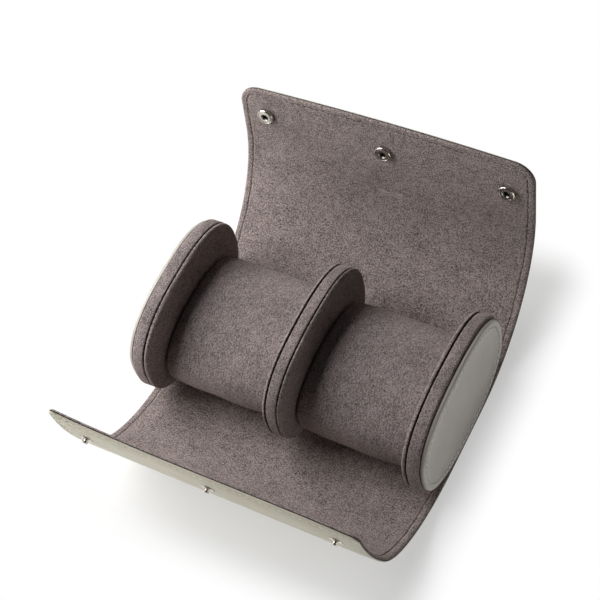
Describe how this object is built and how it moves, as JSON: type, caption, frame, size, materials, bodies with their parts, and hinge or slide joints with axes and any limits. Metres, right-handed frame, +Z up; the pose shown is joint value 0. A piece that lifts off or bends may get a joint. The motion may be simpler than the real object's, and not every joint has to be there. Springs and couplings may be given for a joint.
{
  "type": "watch travel case",
  "caption": "Open two-place watch roll: a leather wrap lined with suede, oval dividers, lift-out cushions, and snaps along its edge.",
  "frame": {"origin": "centre of the flat sole that the open case stands on, under the middle divider", "axes": "+X along the row of dividers, +Y from the front flap to the lid, +Z up"},
  "size_m": [0.1516, 0.1853, 0.0932],
  "materials": {
    "outer_leather": "smooth fine-grained leather, pale sage beige",
    "end_leather": "smooth fine-grained leather, light grey",
    "lining_suede": "short-napped taupe suede",
    "divider_suede": "short-napped taupe suede over a board and thin padding",
    "cushion_suede": "short-napped taupe suede",
    "cushion_foam": "soft foam",
    "stiffening_board": "grey board",
    "snap_nickel": "nickel plate",
    "rivet_brass": "plain brass",
    "spring_steel": "drawn wire"
  },
  "bodies": {
    "base": {"base_leather": "outer_leather", "base_board": "stiffening_board", "base_lining": "lining_suede", "left_divider_band": "divider_suede", "left_divider_inner_face": "divider_suede", "left_divider_outer_face": "divider_suede", "left_end_panel": "end_leather", "middle_divider_band": "divider_suede", "middle_divider_left_face": "divider_suede", "middle_divider_right_face": "divider_suede", "right_divider_band": "divider_suede", "right_divider_inner_face": "divider_suede", "right_divider_outer_face": "divider_suede", "right_end_panel": "end_leather"},
    "front_panel_1": {"front_leather_1": "outer_leather", "front_board_1": "stiffening_board", "front_lining_1": "lining_suede"},
    "front_panel_2": {"front_leather_2": "outer_leather", "front_board_2": "stiffening_board", "front_lining_2": "lining_suede"},
    "front_panel_3": {"front_leather_3": "outer_leather", "front_board_3": "stiffening_board", "front_lining_3": "lining_suede"},
    "front_panel_4": {"front_leather_4": "outer_leather", "front_board_4": "stiffening_board", "front_lining_4": "lining_suede", "snap_studs": "snap_nickel", "stud_rivets": "rivet_brass"},
    "lid_panel_1": {"lid_leather_1": "outer_leather", "lid_board_1": "stiffening_board", "lid_lining_1": "lining_suede"},
    "lid_panel_2": {"lid_leather_2": "outer_leather", "lid_board_2": "stiffening_board", "lid_lining_2": "lining_suede"},
    "lid_panel_3": {"lid_leather_3": "outer_leather", "lid_board_3": "stiffening_board", "lid_lining_3": "lining_suede"},
    "lid_panel_4": {"lid_leather_4": "outer_leather", "lid_board_4": "stiffening_board", "lid_lining_4": "lining_suede"},
    "lid_panel_5": {"lid_leather_5": "outer_leather", "lid_board_5": "stiffening_board", "lid_lining_5": "lining_suede", "snap_sockets": "snap_nickel", "socket_springs": "spring_steel", "snap_caps": "snap_nickel"},
    "left_cushion": {"left_cushion_cover": "cushion_suede", "left_cushion_foam": "cushion_foam", "left_cushion_ends": "cushion_suede"},
    "right_cushion": {"right_cushion_cover": "cushion_suede", "right_cushion_foam": "cushion_foam", "right_cushion_ends": "cushion_suede"}
  },
  "joints": [
    {"name": "front_flap", "type": "hinge", "parent": "base", "child": "front_panel_1", "pos_m": [0, -0.022, 0.00247], "axis": [-1, 0, 0], "range_deg": [0, 24.5]},
    {"name": "front_fold_2", "type": "hinge", "parent": "front_panel_1", "child": "front_panel_2", "pos_m": [0, -0.04374, 0.00553], "axis": [-1, 0, 0], "range_deg": [0, 32]},
    {"name": "front_fold_3", "type": "hinge", "parent": "front_panel_2", "child": "front_panel_3", "pos_m": [0, -0.06716, 0.01645], "axis": [-1, 0, 0], "range_deg": [0, 12]},
    {"name": "front_fold_4", "type": "hinge", "parent": "front_panel_3", "child": "front_panel_4", "pos_m": [0, -0.08053, 0.03356], "axis": [-1, 0, 0], "range_deg": [0, 31]},
    {"name": "lid", "type": "hinge", "parent": "base", "child": "lid_panel_1", "pos_m": [0, 0.02199, 0.00274], "axis": [1, 0, 0], "range_deg": [0, 19.5]},
    {"name": "lid_fold_2", "type": "hinge", "parent": "lid_panel_1", "child": "lid_panel_2", "pos_m": [0, 0.04313, 0.0084], "axis": [1, 0, 0], "range_deg": [0, 22]},
    {"name": "lid_fold_3", "type": "hinge", "parent": "lid_panel_2", "child": "lid_panel_3", "pos_m": [0, 0.06141, 0.0205], "axis": [1, 0, 0], "range_deg": [0, 29]},
    {"name": "lid_fold_4", "type": "hinge", "parent": "lid_panel_3", "child": "lid_panel_4", "pos_m": [0, 0.07645, 0.03907], "axis": [1, 0, 0], "range_deg": [0, 13.6]},
    {"name": "lid_edge", "type": "hinge", "parent": "lid_panel_4", "child": "lid_panel_5", "pos_m": [0, 0.08442, 0.06157], "axis": [1, 0, 0], "range_deg": [0, 14.48]},
    {"name": "left_cushion_lift", "type": "slide", "parent": "base", "child": "left_cushion", "axis": [0, 0, -1], "range_m": [-0.06, 0]},
    {"name": "right_cushion_lift", "type": "slide", "parent": "base", "child": "right_cushion", "axis": [0, 0, -1], "range_m": [-0.06, 0]}
  ],
  "couplings": [
    {"joint": "front_fold_2", "follows": "front_flap", "ratio": 1.3061},
    {"joint": "front_fold_3", "follows": "front_flap", "ratio": 0.4898},
    {"joint": "front_fold_4", "follows": "front_flap", "ratio": 1.2653},
    {"joint": "lid_fold_2", "follows": "lid", "ratio": 1.1282},
    {"joint": "lid_fold_3", "follows": "lid", "ratio": 1.4872},
    {"joint": "lid_fold_4", "follows": "lid", "ratio": 0.69744}
  ]
}
